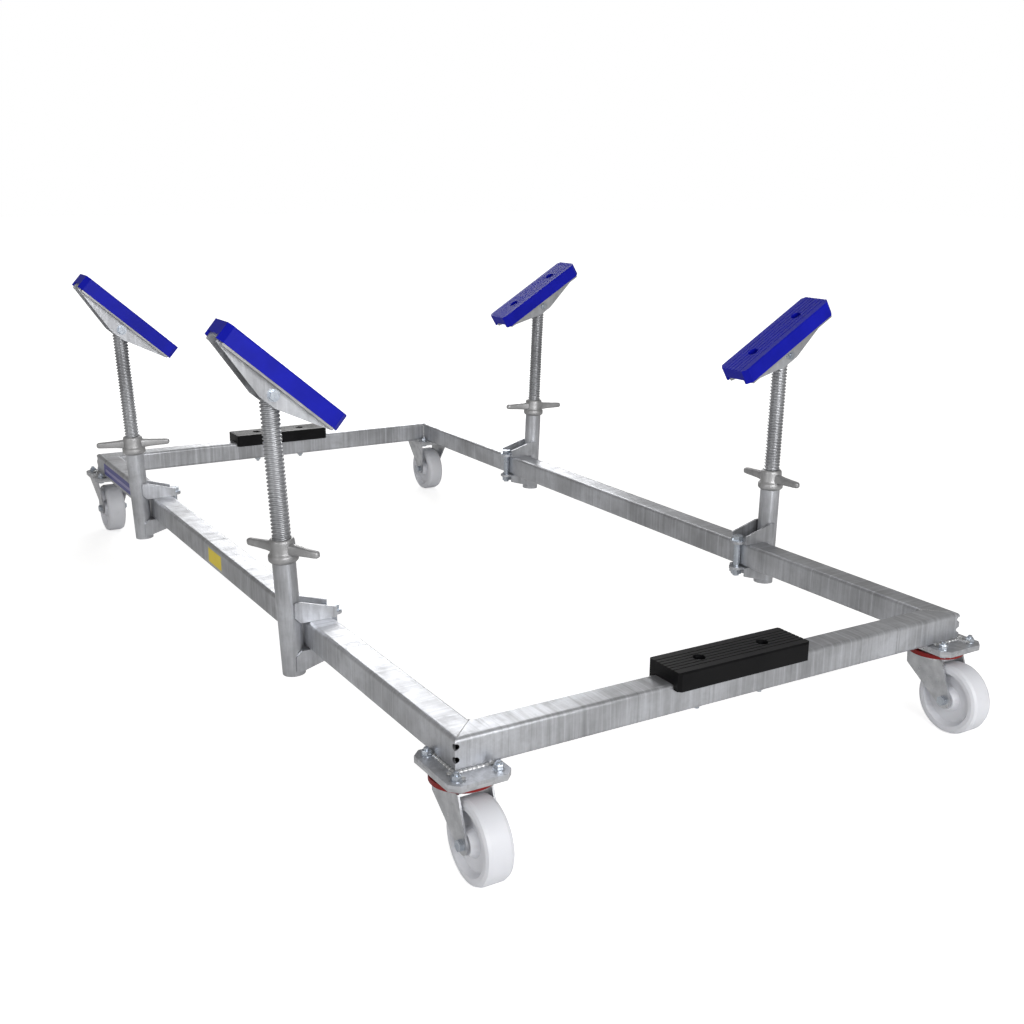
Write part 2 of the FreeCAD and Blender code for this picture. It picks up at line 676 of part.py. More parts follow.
    # pad bracket: a web under the pad and two ears that taper from the pivot to its ends
    pivot = up_the_post(where + "_rise")
    tilted = facing + " * " + about((0, 1, 0), where + "_tilt")
    name = "pad_bracket_" + where
    outer_end, inner_end = "pad_shift - bracket_half_length", "pad_shift + bracket_half_length"
    ear = [(outer_end, "web_rise"), (outer_end, "web_rise - ear_end_depth"), ("-ear_nose", "-ear_drop"),
           ("ear_nose", "-ear_drop"), (inner_end, "web_rise - ear_end_depth"), (inner_end, "web_rise")]
    ears = [at(prism("%s_ear_%d" % (name, near), "front", ear, "bracket_thick"), "0",
               "%d * (bracket_width - bracket_thick) / 2" % near) for near in (-1, 1)]
    web = block(name + "_web", "2 * bracket_half_length", "bracket_width", "bracket_thick", "pad_shift", "0",
                "web_rise - bracket_thick")
    ways = [rod(name + "_pivot_way", "pivot_radius + pivot_hole_play", "2 * bracket_width", "0",
                "-bracket_width", "0", turn=TO_Y)]
    for hand in (-1, 1):
        ways.append(rod("%s_bolt_way_%d" % (name, hand), "pad_hole_radius", "4 * bracket_thick",
                        "%d * pad_hole_space / 2 + pad_shift" % hand, "0", "web_rise - 2 * bracket_thick"))
    bracket = cut(name + "_cut", join(name + "_body", ears + [web]), ways)
    node(name, at(bracket, *pivot, turn=tilted))

    # pivot bolt across the ears and the screw's head
    name = "pivot_bolt_" + where
    half = "bracket_width / 2"
    pieces = [rod(name + "_shank", "pivot_radius", "bracket_width + pivot_washer_thick + pivot_head_thick + pivot_tip",
                  "0", "0", "-%s - pivot_washer_thick" % half),
              rod(name + "_washer", "pivot_washer_radius", "pivot_washer_thick", "0", "0",
                  "-%s - pivot_washer_thick" % half),
              hexagon(name + "_head", "pivot_flats", "pivot_head_thick", "0", "0",
                      "-%s - pivot_washer_thick - pivot_head_thick" % half),
              hexagon(name + "_nut", "pivot_flats", "pivot_head_thick", "0", "0", half)]
    bolt = join(name + "_body", pieces)
    node(name, at(bolt, *pivot, turn=tilted + " * " + TO_Y))

    # bunk pad, its channel over the bracket's web
    name = "bunk_pad_" + where
    offset_x = "pad_shift * cos(%s_tilt) + pad_base * sin(%s_tilt)" % (where, where)
    offset_z = "-pad_shift * sin(%s_tilt) + pad_base * cos(%s_tilt)" % (where, where)
    node(name, at(moulded_pad(name, "bunk_length"), "%s - (%d) * (%s)" % (pivot[0], side, offset_x), pivot[1],
                  "%s + %s" % (pivot[2], offset_z), turn=tilted))


for end_word, _, side_word, side in CORNERS:
    post(end_word, side_word, side)


# ---------------------------------------------------------------- check and write

doc.recompute()
troubled = [item.Name for item in doc.Objects if "Invalid" in item.State or "Error" in item.State]
if troubled:
    raise RuntimeError("objects that failed: " + ", ".join(troubled))
for item in nodes:
    if item.Shape.isNull() or not item.Shape.isValid() or not item.Shape.Solids:
        raise RuntimeError("bad shape: " + item.Label)

os.makedirs("parts", exist_ok=True)
for item in nodes:
    item.Shape.exportStep("parts/%s.step" % item.Label)
print(len(nodes), "nodes written")
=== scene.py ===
import json
import math
import bmesh
import bpy
from mathutils import Matrix, Vector

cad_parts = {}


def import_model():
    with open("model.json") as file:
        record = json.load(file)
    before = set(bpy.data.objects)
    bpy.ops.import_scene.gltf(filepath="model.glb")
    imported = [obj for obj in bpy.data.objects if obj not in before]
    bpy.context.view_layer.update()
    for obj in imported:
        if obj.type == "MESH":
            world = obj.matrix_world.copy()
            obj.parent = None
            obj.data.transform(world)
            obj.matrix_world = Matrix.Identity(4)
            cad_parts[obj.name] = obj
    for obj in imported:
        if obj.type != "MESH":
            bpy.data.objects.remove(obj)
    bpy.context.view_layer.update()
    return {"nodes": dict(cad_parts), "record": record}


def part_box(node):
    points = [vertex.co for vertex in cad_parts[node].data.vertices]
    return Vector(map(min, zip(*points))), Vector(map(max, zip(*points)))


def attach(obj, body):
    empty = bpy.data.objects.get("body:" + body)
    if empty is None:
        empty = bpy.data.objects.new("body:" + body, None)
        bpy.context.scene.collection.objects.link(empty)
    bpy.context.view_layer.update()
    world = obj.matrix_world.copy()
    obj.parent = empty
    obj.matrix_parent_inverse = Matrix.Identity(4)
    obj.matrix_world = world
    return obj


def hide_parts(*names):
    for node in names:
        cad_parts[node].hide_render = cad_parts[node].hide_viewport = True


# The looks of a wheeled boat stand: galvanised tube, rolled screws, moulded pads, nylon wheels.
# Metres, +Z up, +Y towards the fixed castors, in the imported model's frame.

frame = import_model()
nodes = frame["nodes"]
record = frame["record"]
joints = {joint["name"]: joint for joint in record["behaviour"]["joints"]}
mounts = {mount["name"]: mount for mount in record["mounts"]}
slots = {entry["node"]: entry["material_slot"] for entry in record["subparts"]}

MM = 0.001
CORNERS = ("front_left", "front_right", "rear_left", "rear_right")


# ---------------------------------------------------------------- shader helpers

MIX_FIRST, MIX_SECOND, MIX_RESULT = 6, 7, 2     # the Mix node's colour sockets


class Shader:
    """A material being wired up, with short calls for the nodes it needs."""

    def __init__(self, name, roughness=0.5, metallic=0.0):
        self.material = bpy.data.materials.new(name)
        self.material.use_nodes = True
        self.tree = self.material.node_tree
        self.surface = self.tree.nodes["Principled BSDF"]
        self.surface.inputs["Metallic"].default_value = metallic
        self.surface.inputs["Roughness"].default_value = roughness
        coordinates = self.tree.nodes.new("ShaderNodeTexCoord")
        self.object_space = coordinates.outputs["Object"]

    def link(self, source, target):
        """Joins an output to an input."""
        self.tree.links.new(source, target)

    def stretched(self, scale):
        """Object space with each axis scaled by itself."""
        mapping = self.tree.nodes.new("ShaderNodeMapping")
        mapping.inputs["Scale"].default_value = scale
        self.link(self.object_space, mapping.inputs["Vector"])
        return mapping.outputs["Vector"]

    def noise(self, scale, detail=4.0, rough=0.55, stretch=(1, 1, 1)):
        """Smooth noise between 0 and 1."""
        texture = self.tree.nodes.new("ShaderNodeTexNoise")
        texture.inputs["Scale"].default_value = scale
        texture.inputs["Detail"].default_value = detail
        texture.inputs["Roughness"].default_value = rough
        self.link(self.stretched(stretch), texture.inputs["Vector"])
        return texture.outputs["Fac"]

    def crystals(self, scale):
        """An even random value for each small cell."""
        texture = self.tree.nodes.new("ShaderNodeTexVoronoi")
        texture.inputs["Scale"].default_value = scale
        self.link(self.stretched((1, 1, 1)), texture.inputs["Vector"])
        split = self.tree.nodes.new("ShaderNodeSeparateColor")
        self.link(texture.outputs["Color"], split.inputs["Color"])
        return split.outputs["Red"]

    def levels(self, value, low, high, to_low=0.0, to_high=1.0):
        """Maps low..high to to_low..to_high."""
        remap = self.tree.nodes.new("ShaderNodeMapRange")
        remap.inputs["From Min"].default_value = low
        remap.inputs["From Max"].default_value = high
        remap.inputs["To Min"].default_value = to_low
        remap.inputs["To Max"].default_value = to_high
        self.link(value, remap.inputs["Value"])
        return remap.outputs["Result"]

    def mix(self, factor, first, second):
        """Blends two colours, each a tuple or another node's output."""
        blend = self.tree.nodes.new("ShaderNodeMix")
        blend.data_type = "RGBA"
        self.link(factor, blend.inputs["Factor"])
        for index, value in ((MIX_FIRST, first), (MIX_SECOND, second)):
            socket = blend.inputs[index]
            if isinstance(value, tuple):
                socket.default_value = (*value, 1.0)
            else:
                self.link(value, socket)
        return blend.outputs[MIX_RESULT]

    def colour(self, source):
        """Uses source as the base colour."""
        self.link(source, self.surface.inputs["Base Color"])

    def roughness(self, source):
        """Uses source as the roughness."""
        self.link(source, self.surface.inputs["Roughness"])

    def bump(self, *heights):
        """heights are (value, depth in metres) pairs."""
        last = None
        for value, depth in heights:
            node = self.tree.nodes.new("ShaderNodeBump")
            node.inputs["Distance"].default_value = depth
            self.link(value, node.inputs["Height"])
            if last is not None:
                self.link(last, node.inputs["Normal"])
            last = node.outputs["Normal"]
        self.link(last, self.surface.inputs["Normal"])


THREAD_FINENESS = 3.1       # the fine runs against the broad ones
BRIGHTEST, DULLEST = 1.22, 0.7
PATCH_SHARE, CRYSTAL_SHARE, THREAD_SHARE = 0.5, 0.12, 0.45
RUN_DEPTH, THREAD_DEPTH, CRYSTAL_DEPTH, ZINC_GRAIN_DEPTH = 0.00035, 0.00014, 0.00004, 0.00003


def galvanised(name, dark, light, run, metallic=0.8, rough=(0.3, 0.46), streaks=0.8, relief=1.0):
    """Dipped zinc: cloudy grey with fine runs; run is how quickly they vary along X, Y and Z."""
    shader = Shader(name, metallic=metallic)
    clouds = shader.noise(scale=6.0, detail=5.0)
    patches = shader.noise(scale=26.0, detail=4.0, rough=0.6)
    runs = shader.noise(scale=1.0, detail=4.0, rough=0.6, stretch=run)
    fine_run = tuple(value * THREAD_FINENESS for value in run)
    threads = shader.noise(scale=1.0, detail=3.0, rough=0.6, stretch=fine_run)
    crystals = shader.crystals(scale=260.0)
    grains = shader.noise(scale=800.0, detail=3.0)
    bright = tuple(min(1.0, value * BRIGHTEST) for value in light)
    dull = tuple(value * DULLEST for value in dark)
    base = shader.mix(shader.levels(clouds, low=0.34, high=0.66), dark, light)
    base = shader.mix(shader.levels(patches, low=0.5, high=0.72, to_high=PATCH_SHARE), base, dark)
    base = shader.mix(shader.levels(runs, low=0.52, high=0.72, to_high=streaks), base, bright)
    base = shader.mix(shader.levels(runs, low=0.45, high=0.28, to_high=streaks), base, dull)
    threading = shader.levels(threads, low=0.5, high=0.75, to_high=THREAD_SHARE * streaks)
    base = shader.mix(threading, base, bright)
    sparkle = shader.levels(crystals, low=0.0, high=1.0, to_high=CRYSTAL_SHARE)
    shader.colour(shader.mix(sparkle, base, dark))
    shader.roughness(shader.levels(patches, 0.3, 0.7, *rough))
    shader.bump((runs, RUN_DEPTH * relief), (threads, THREAD_DEPTH * relief),
                (crystals, CRYSTAL_DEPTH * relief), (grains, ZINC_GRAIN_DEPTH * relief))
    return shader.material


BRUSH_DEPTH, PLATE_WAVE_DEPTH = 0.00001, 0.00006


def plated(name, dark, light, rough=(0.24, 0.4)):
    """Bright zinc plate on pressings and bolts."""
    shader = Shader(name, metallic=0.85)
    clouds = shader.noise(scale=40.0, detail=4.0)
    brushed = shader.noise(scale=120.0, detail=2.0, rough=0.5, stretch=(1, 1, 0.3))
    shader.colour(shader.mix(shader.levels(clouds, low=0.3, high=0.7), dark, light))
    shader.roughness(shader.levels(brushed, 0.3, 0.7, *rough))
    shader.bump((brushed, BRUSH_DEPTH), (clouds, PLATE_WAVE_DEPTH))
    return shader.material


GRAIN_DEPTH, SCUFF_DEPTH = 0.00005, 0.00006


def moulded(name, deep, pale, rough=(0.38, 0.52), scuff=0.25, specular=0.3):
    """Injection-moulded plastic: fine grain, faint flow, pale scuffs."""
    shader = Shader(name)
    shader.surface.inputs["Specular IOR Level"].default_value = specular
    flow = shader.noise(scale=14.0, detail=4.0)
    scuffs = shader.noise(scale=60.0, detail=6.0, rough=0.7, stretch=(1, 0.25, 1))
    grainy = shader.noise(scale=1400.0, detail=2.0)
    halfway = tuple((a * 2 + b) / 3 for a, b in zip(deep, pale))
    base = shader.mix(shader.levels(flow, low=0.3, high=0.7), deep, halfway)
    scuffed = shader.levels(scuffs, low=0.62, high=0.8, to_high=scuff)
    shader.colour(shader.mix(scuffed, base, pale))
    shader.roughness(shader.levels(flow, 0.3, 0.7, *rough))
    shader.bump((grainy, GRAIN_DEPTH), (scuffs, SCUFF_DEPTH))
    return shader.material


NYLON_PALE, NYLON_DEEP, ROAD_DUST = (0.72, 0.73, 0.77), (0.66, 0.67, 0.71), (0.50, 0.50, 0.50)
DUST_SHARE = 0.35


def nylon(name):
    """White cast nylon with faint clouds, specks of grey road dust and a fine grain."""
    shader = Shader(name, roughness=0.42)
    shader.surface.inputs["Subsurface Weight"].default_value = 0.06
    shader.surface.inputs["Subsurface Radius"].default_value = (0.006, 0.005, 0.004)
    dust = shader.noise(scale=45.0, detail=6.0, rough=0.65)
    cloud = shader.noise(scale=11.0, detail=3.0)
    base = shader.mix(shader.levels(cloud, low=0.3, high=0.7), NYLON_PALE, NYLON_DEEP)
    dusty = shader.levels(dust, low=0.6, high=0.82, to_high=DUST_SHARE)
    shader.colour(shader.mix(dusty, base, ROAD_DUST))
    shader.bump((shader.noise(scale=500.0, detail=2.0), GRAIN_DEPTH))
    return shader.material


FILM_WAVE_DEPTH = 0.0001


def flat_film(name, first, second):
    """A blank film: nearly even colour with slight fading and a wavy surface."""
    shader = Shader(name, roughness=0.35)
    faded = shader.levels(shader.noise(scale=30.0), low=0.3, high=0.7)
    shader.colour(shader.mix(faded, first, second))
    shader.bump((shader.noise(scale=90.0, detail=2.0), FILM_WAVE_DEPTH))
    return shader.material


ZINC_DARK, ZINC_LIGHT = (0.34, 0.345, 0.36), (0.62, 0.635, 0.67)
IRON_DARK, IRON_LIGHT = (0.30, 0.30, 0.305), (0.48, 0.48, 0.485)
SCREW_DARK, SCREW_LIGHT = (0.30, 0.305, 0.32), (0.52, 0.53, 0.55)
WELD_DARK, WELD_LIGHT = (0.45, 0.455, 0.46), (0.68, 0.69, 0.70)
BLUE_DEEP, BLUE_PALE = (0.001, 0.004, 0.32), (0.006, 0.012, 0.62)
BLACK_DEEP, BLACK_PALE = (0.0015, 0.0015, 0.002), (0.01, 0.01, 0.011)
RED_DEEP, RED_PALE = (0.20, 0.006, 0.006), (0.30, 0.02, 0.015)
# How quickly the zinc's runs vary along X, Y and Z.
ALONG_Y, ALONG_X, UPRIGHT = (4.0, 120.0, 4.0), (120.0, 4.0, 4.0), (70.0, 70.0, 5.0)
IRON_RUN, WELD_RUN = (30.0, 30.0, 30.0), (40.0, 40.0, 40.0)
MATERIALS = {
    "galvanised": galvanised("galvanised", ZINC_DARK, ZINC_LIGHT, UPRIGHT, streaks=0.5),
    "galvanised_rail": galvanised("galvanised_rail", ZINC_DARK, ZINC_LIGHT, ALONG_Y, streaks=0.45),
    "galvanised_beam": galvanised("galvanised_beam", ZINC_DARK, ZINC_LIGHT, ALONG_X, streaks=0.55),
    "zinc_pressing": plated("zinc_pressing", (0.42, 0.43, 0.45), (0.64, 0.65, 0.67), (0.26, 0.42)),
    "zinc_bolts": plated("zinc_bolts", (0.40, 0.44, 0.50), (0.60, 0.64, 0.69), (0.22, 0.36)),
    "screw_steel": galvanised("screw_steel", SCREW_DARK, SCREW_LIGHT, UPRIGHT, metallic=0.85,
                              rough=(0.30, 0.44), streaks=0.3, relief=0.2),
    "cast_iron": galvanised("cast_iron", IRON_DARK, IRON_LIGHT, IRON_RUN, metallic=0.7,
                            rough=(0.38, 0.52), streaks=0.4),
    "bunk_plastic": moulded("bunk_plastic", BLUE_DEEP, BLUE_PALE, rough=(0.4, 0.52), scuff=0.3,
                            specular=0.2),
    "keel_plastic": moulded("keel_plastic", BLACK_DEEP, BLACK_PALE, rough=(0.36, 0.5), scuff=0.3,
                            specular=0.16),
    "wheel_nylon": nylon("wheel_nylon"),
    "seal_plastic": moulded("seal_plastic", RED_DEEP, RED_PALE, rough=(0.4, 0.5), scuff=0.2),
    "weld": galvanised("weld", WELD_DARK, WELD_LIGHT, WELD_RUN, rough=(0.28, 0.42), streaks=0.4),
    "label_yellow": flat_film("label_yellow", (0.90, 0.70, 0.005), (0.84, 0.64, 0.005)),
    "label_blue": flat_film("label_blue", (0.02, 0.02, 0.22), (0.03, 0.03, 0.27)),
    "label_pale": flat_film("label_pale", (0.28, 0.26, 0.48), (0.24, 0.22, 0.44)),
}
LOOKS = {"left_rail": "galvanised_rail", "right_rail": "galvanised_rail",
         "front_beam": "galvanised_beam", "rear_beam": "galvanised_beam"}
for name, item in nodes.items():
    item.data.materials.clear()
    item.data.materials.append(MATERIALS[LOOKS.get(name, slots[name])])


# ---------------------------------------------------------------- mesh helpers

SAME_SPOT = 1e-6
BEVEL_ANGLE = 32


def piece(name, mesh, slot, body, replaced=(), smooth_angle=35, bevel=0.0, look=None):
    """Turns a bmesh into a piece that rides on a body, with the look's material, or the slot's where no
    look is given.
    """
    data = bpy.data.meshes.new(name)
    bmesh.ops.remove_doubles(mesh, verts=mesh.verts, dist=SAME_SPOT)
    bmesh.ops.recalc_face_normals(mesh, faces=mesh.faces)
    mesh.to_mesh(data)
    mesh.free()
    item = bpy.data.objects.new(name, data)
    bpy.context.collection.objects.link(item)
    data.materials.append(MATERIALS[look or slot])
    if bevel:
        edge = item.modifiers.new("edge", "BEVEL")
        edge.width = bevel
        edge.segments = 2
        edge.limit_method = "ANGLE"
        edge.angle_limit = math.radians(BEVEL_ANGLE)
        edge.harden_normals = False
    data.shade_smooth()
    data.set_sharp_from_angle(angle=math.radians(smooth_angle))
    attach(item, body)
    if replaced:
        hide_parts(*replaced)
    return item


def add_lathe(mesh, points, place, steps=48):
    """Adds a closed ring of (radius, height) points turned about the place's Z."""
    rings = []
    for step in range(steps):
        angle = 2 * math.pi * step / steps
        rings.append([mesh.verts.new(place @ Vector((r * math.cos(angle), r * math.sin(angle), z)))
                      for r, z in points])
    for step in range(steps):
        near, far = rings[step], rings[(step + 1) % steps]
        for index in range(len(points)):
            after = (index + 1) % len(points)
            corners = [near[index], near[after], far[after], far[index]]
            kept = []
            for corner in corners:
                if all((corner.co - other.co).length > 1e-9 for other in kept):
                    kept.append(corner)
            if len(kept) >= 3:
                mesh.faces.new(kept)


def add_prism(mesh, outline, low, high, place):
    """Adds the outline of (x, y) points pushed from low to high along the place's Z."""
    bottom = [mesh.verts.new(place @ Vector((x, y, low))) for x, y in outline]
    top = [mesh.verts.new(place @ Vector((x, y, high))) for x, y in outline]
    mesh.faces.new(list(reversed(bottom)))
    mesh.faces.new(top)
    count = len(outline)
    for index in range(count):
        after = (index + 1) % count
        mesh.faces.new([bottom[index], bottom[after], top[after], top[index]])


def skin(mesh, rings):
    """Joins rings of vertices into a closed skin with flat ends."""
    for near, far in zip(rings, rings[1:]):
        for index in range(len(near)):
            after = (index + 1) % len(near)
            mesh.faces.new([near[index], near[after], far[after], far[index]])
    mesh.faces.new(list(reversed(rings[0])))
    mesh.faces.new(rings[-1])


def polygon(count, radius):
    """The corners of a regular polygon about the origin."""
    angles = [2 * math.pi * index / count for index in range(count)]
    return [(radius * math.cos(angle), radius * math.sin(angle)) for angle in angles]


HEX_SHOULDER, HEX_TOP = 0.82, 0.9      # where a hexagon's corners start to turn in, and how far
WASHER_EDGE, WASHER_ROUND = 0.8, 0.3
TIP_ROUND = 0.2
WASHER_STEPS, TIP_STEPS = 28, 20


def add_hex(mesh, flats, thick, place):
    """Adds a hexagon head or nut with its corners turned off at the top."""
    radius = flats / math.sqrt(3)
    levels = ((0.0, radius), (thick * HEX_SHOULDER, radius), (thick, radius * HEX_TOP))
    skin(mesh, [[mesh.verts.new(place @ Vector((x, y, z))) for x, y in polygon(6, radius)]
                for z, radius in levels])


def add_bolt(mesh, place, flats, head, washer=0.0, washer_thick=0.0, tip=0.0, radius=0.0):
    """Adds a washer, a hexagon and a rounded bolt tip, standing on the place."""
    if washer:
        add_lathe(mesh, [(0.0, 0.0), (washer, 0.0), (washer, washer_thick * WASHER_EDGE),
                         (washer - washer_thick * WASHER_ROUND, washer_thick), (0.0, washer_thick)],
                  place, WASHER_STEPS)
    seat = place @ Matrix.Translation((0, 0, washer_thick))
    add_hex(mesh, flats, head, seat)
    if tip:
        top = head + tip
        add_lathe(mesh, [(0.0, 0.0), (radius, 0.0), (radius, top - radius * TIP_ROUND),
                         (radius * (1 - TIP_ROUND), top), (0.0, top)], seat, TIP_STEPS)


def basis(origin, z_axis, x_hint):
    """A placement at origin whose Z is z_axis and whose X leans towards x_hint."""
    z = Vector(z_axis).normalized()
    x = Vector(x_hint)
    x = (x - z * x.dot(z)).normalized()
    y = z.cross(x)
    turn = Matrix((x, y, z)).transposed().to_4x4()
    return Matrix.Translation(origin) @ turn


# ---------------------------------------------------------------- jack screws

SCREW_RADIUS, SCREW_ROOT, SCREW_PITCH = 19.5 * MM, 16.2 * MM, 8.0 * MM
SCREW_PAST_PIVOT = 14 * MM
SCREW_LENGTH = 560 * MM
SCREW_STEPS = 36
END_CAP = 1 * MM
END_SLOPE = 0.8
SCREW_SMOOTH = 40
FLAT_FACE = 1e-8            # shorter sides than this leave no face between two rows
CREST_ROUND = 0.35 * MM
# (share of one pitch, radius) along a turn of the thread.
THREAD_PROFILE = ((0.0, SCREW_ROOT), (0.16, SCREW_ROOT + CREST_ROUND),
                  (0.34, SCREW_RADIUS - CREST_ROUND), (0.44, SCREW_RADIUS),
                  (0.56, SCREW_RADIUS), (0.66, SCREW_RADIUS - CREST_ROUND),
                  (0.84, SCREW_ROOT + CREST_ROUND), (1.0, SCREW_ROOT))


def jack_screw(where):
    """A rolled round-bottomed thread along the whole bar, with its ends chamfered."""
    tilt = joints["pad_tilt_" + where]
    axis = joints["jack_lift_" + where]["axis"]
    place = basis(tilt["pos_m"], axis, (1, 0, 0))
    mesh = bmesh.new()
    low, high = SCREW_PAST_PIVOT - SCREW_LENGTH, SCREW_PAST_PIVOT
    turns = int(SCREW_LENGTH / SCREW_PITCH) + 2
    rows = []
    for step in range(turns * SCREW_STEPS + 1):
        angle = 2 * math.pi * step / SCREW_STEPS
        start = low - SCREW_PITCH + SCREW_PITCH * step / SCREW_STEPS
        row = []
        for along, radius in THREAD_PROFILE:
            z = min(high, max(low, start + along * SCREW_PITCH))
            near_end = min(high - z, z - low)
            radius = min(radius, SCREW_ROOT + near_end * END_SLOPE)
            corner = Vector((radius * math.cos(angle), radius * math.sin(angle), z))
            row.append(mesh.verts.new(place @ corner))
        rows.append(row)
    for near, far in zip(rows, rows[1:]):
        for index in range(len(THREAD_PROFILE) - 1):
            sides = ((near[index], near[index + 1]), (far[index], far[index + 1]))
            if any((first.co - last.co).length > FLAT_FACE for first, last in sides):
                mesh.faces.new([near[index], far[index], far[index + 1], near[index + 1]])
    for level, way in ((low, -1), (high, 1)):
        inner = level - way * END_CAP
        add_lathe(mesh, [(0.0, level), (SCREW_ROOT, level), (SCREW_ROOT - END_CAP, inner), (0.0, inner)],
                  place, SCREW_STEPS)
    piece("screw_" + where, mesh, "screw_steel", "jack_" + where, ("jack_screw_" + where,),
          smooth_angle=SCREW_SMOOTH)


# ---------------------------------------------------------------- wing nuts

WING_TURN = {"front_left": -65, "front_right": -90, "rear_left": -22, "rear_right": -4}
NUT_BORE = 19.6 * MM
WING_RISE = 29 * MM
# (radius, height) round the collar, flange first, and (reach, half height, half thickness) along a
# wing, all in mm.
COLLAR = ((24, 0.0), (27, 1.2), (30.4, 4.6), (31, 7), (31, 14.5), (30, 17), (27.4, 19.5), (26.4, 23),
          (26, 40), (25.6, 45), (24.6, 48.4), (22.6, 50))
COLLAR_FOOT = 0.4
COLLAR_STEPS = 56
NUT_SMOOTH = 50
WING_SECTIONS = ((20, 12.5, 11.5), (30, 11.5, 9.5), (45, 10.0, 7.6), (70, 8.6, 7.0), (86, 8.0, 7.2),
                 (94, 7.2, 6.6), (97, 5.0, 4.8), (98, 2.4, 2.4))


SECTION_STEPS, SECTION_SQUARENESS = 20, 0.55


def rounded_section(half_height, half_thick):
    """A closed outline between a box and an ellipse, as cast bars have."""
    points = []
    for index in range(SECTION_STEPS):
        angle = 2 * math.pi * (index + 0.5) / SECTION_STEPS
        across, up = math.cos(angle), math.sin(angle)
        points.append((math.copysign(abs(across) ** SECTION_SQUARENESS, across) * half_thick,
                       math.copysign(abs(up) ** SECTION_SQUARENESS, up) * half_height))
    return points


def wing_nut(where):
    """A cast collar with a flange below and two tapered, rounded wings."""
    joint = joints["nut_turn_" + where]
    turn = math.radians(WING_TURN[where])
    place = basis(joint["pos_m"], joint["axis"], (math.cos(turn), math.sin(turn), 0))
    mesh = bmesh.new()
    outside = [(radius * MM, height * MM) for radius, height in COLLAR]
    inside = [(NUT_BORE, COLLAR_FOOT * MM)]
    add_lathe(mesh, inside + outside + [(NUT_BORE, outside[-1][1])], place, COLLAR_STEPS)
    for hand in (0, 180):
        wing = place @ Matrix.Rotation(math.radians(hand), 4, "Z")
        rings = []
        for reach, half_height, half_thick in WING_SECTIONS:
            rings.append([mesh.verts.new(wing @ Vector((reach * MM, across, WING_RISE + up)))
                          for across, up in rounded_section(half_height * MM, half_thick * MM)])
        skin(mesh, rings)
    piece("nut_" + where, mesh, "galvanised", "nut_" + where, ("wing_nut_" + where,),
          smooth_angle=NUT_SMOOTH, look="cast_iron")


# ---------------------------------------------------------------- moulded pads

PAD_HALF_WIDTH, PAD_HEIGHT, PAD_CHAMFER = 47.5 * MM, 37 * MM, 3 * MM
BUNK_CORNER, KEEL_CORNER = 12 * MM, 6 * MM
BUNK_LENGTH, KEEL_LENGTH = 306 * MM, 320 * MM
CUT_PAST = 5 * MM
CHANNEL_HALF, CHANNEL_DEPTH = 30.5 * MM, 10 * MM
GROOVES = (-27 * MM, -16 * MM, -5.5 * MM, 5.5 * MM, 16 * MM, 27 * MM)
GROOVE_HALF, GROOVE_DEPTH = 1.3 * MM, 1.6 * MM
HOLE_SPACE, BORE_RADIUS, BORE_DEPTH = 155 * MM, 12 * MM, 14 * MM
PAD_HOLE_RADIUS = 5.5 * MM
BORE_LEAD = 1 * MM          # the flare at the counterbore's mouth
BORE_STEPS = 32
PAD_SMOOTH, PAD_BEVEL = 30, 1.0 * MM
BOLT_HOLE = ((0.0, -CUT_PAST), (PAD_HOLE_RADIUS, -CUT_PAST),
             (PAD_HOLE_RADIUS, PAD_HEIGHT - BORE_DEPTH), (BORE_RADIUS, PAD_HEIGHT - BORE_DEPTH),
             (BORE_RADIUS, PAD_HEIGHT - BORE_LEAD), (BORE_RADIUS + 2 * BORE_LEAD, PAD_HEIGHT + BORE_LEAD),
             (0.0, PAD_HEIGHT + BORE_LEAD))
LIP_INNER, LIP_INSET, LIP_THICK, LIP_GAP = 29.5 * MM, 1.5 * MM, 4.5 * MM, 0.2 * MM


def pad_profile():
    """The pad's end outline: channel beneath, chamfered shoulders, grooves on top."""
    outline = [(-PAD_HALF_WIDTH, 0.0), (-CHANNEL_HALF, 0.0), (-CHANNEL_HALF, CHANNEL_DEPTH),
               (CHANNEL_HALF, CHANNEL_DEPTH), (CHANNEL_HALF, 0.0), (PAD_HALF_WIDTH, 0.0),
               (PAD_HALF_WIDTH, PAD_HEIGHT - PAD_CHAMFER), (PAD_HALF_WIDTH - PAD_CHAMFER, PAD_HEIGHT)]
    groove_floor, floor_half = PAD_HEIGHT - GROOVE_DEPTH, GROOVE_HALF * 0.5
    for middle in reversed(GROOVES):
        outline += [(middle + GROOVE_HALF, PAD_HEIGHT), (middle + floor_half, groove_floor),
                    (middle - floor_half, groove_floor), (middle - GROOVE_HALF, PAD_HEIGHT)]
    outline += [(-PAD_HALF_WIDTH + PAD_CHAMFER, PAD_HEIGHT), (-PAD_HALF_WIDTH, PAD_HEIGHT - PAD_CHAMFER)]
    return outline


def carve(item, cutter):
    """Takes the cutter out of the item and applies it."""
    cut = item.modifiers.new("cut", "BOOLEAN")
    cut.operation = "DIFFERENCE"
    cut.solver = "EXACT"
    cut.object = cutter
    graph = bpy.context.evaluated_depsgraph_get()
    carved = bpy.data.meshes.new_from_object(item.evaluated_get(graph))
    item.modifiers.clear()
    item.data = carved
    bpy.data.objects.remove(cutter)


def plain_object(name, mesh):
    """An object for cutting with, which isn't a piece."""
    bmesh.ops.recalc_face_normals(mesh, faces=mesh.faces)
    data = bpy.data.meshes.new(name)
    mesh.to_mesh(data)
    mesh.free()
    item = bpy.data.objects.new(name, data)
    bpy.context.collection.objects.link(item)
    return item


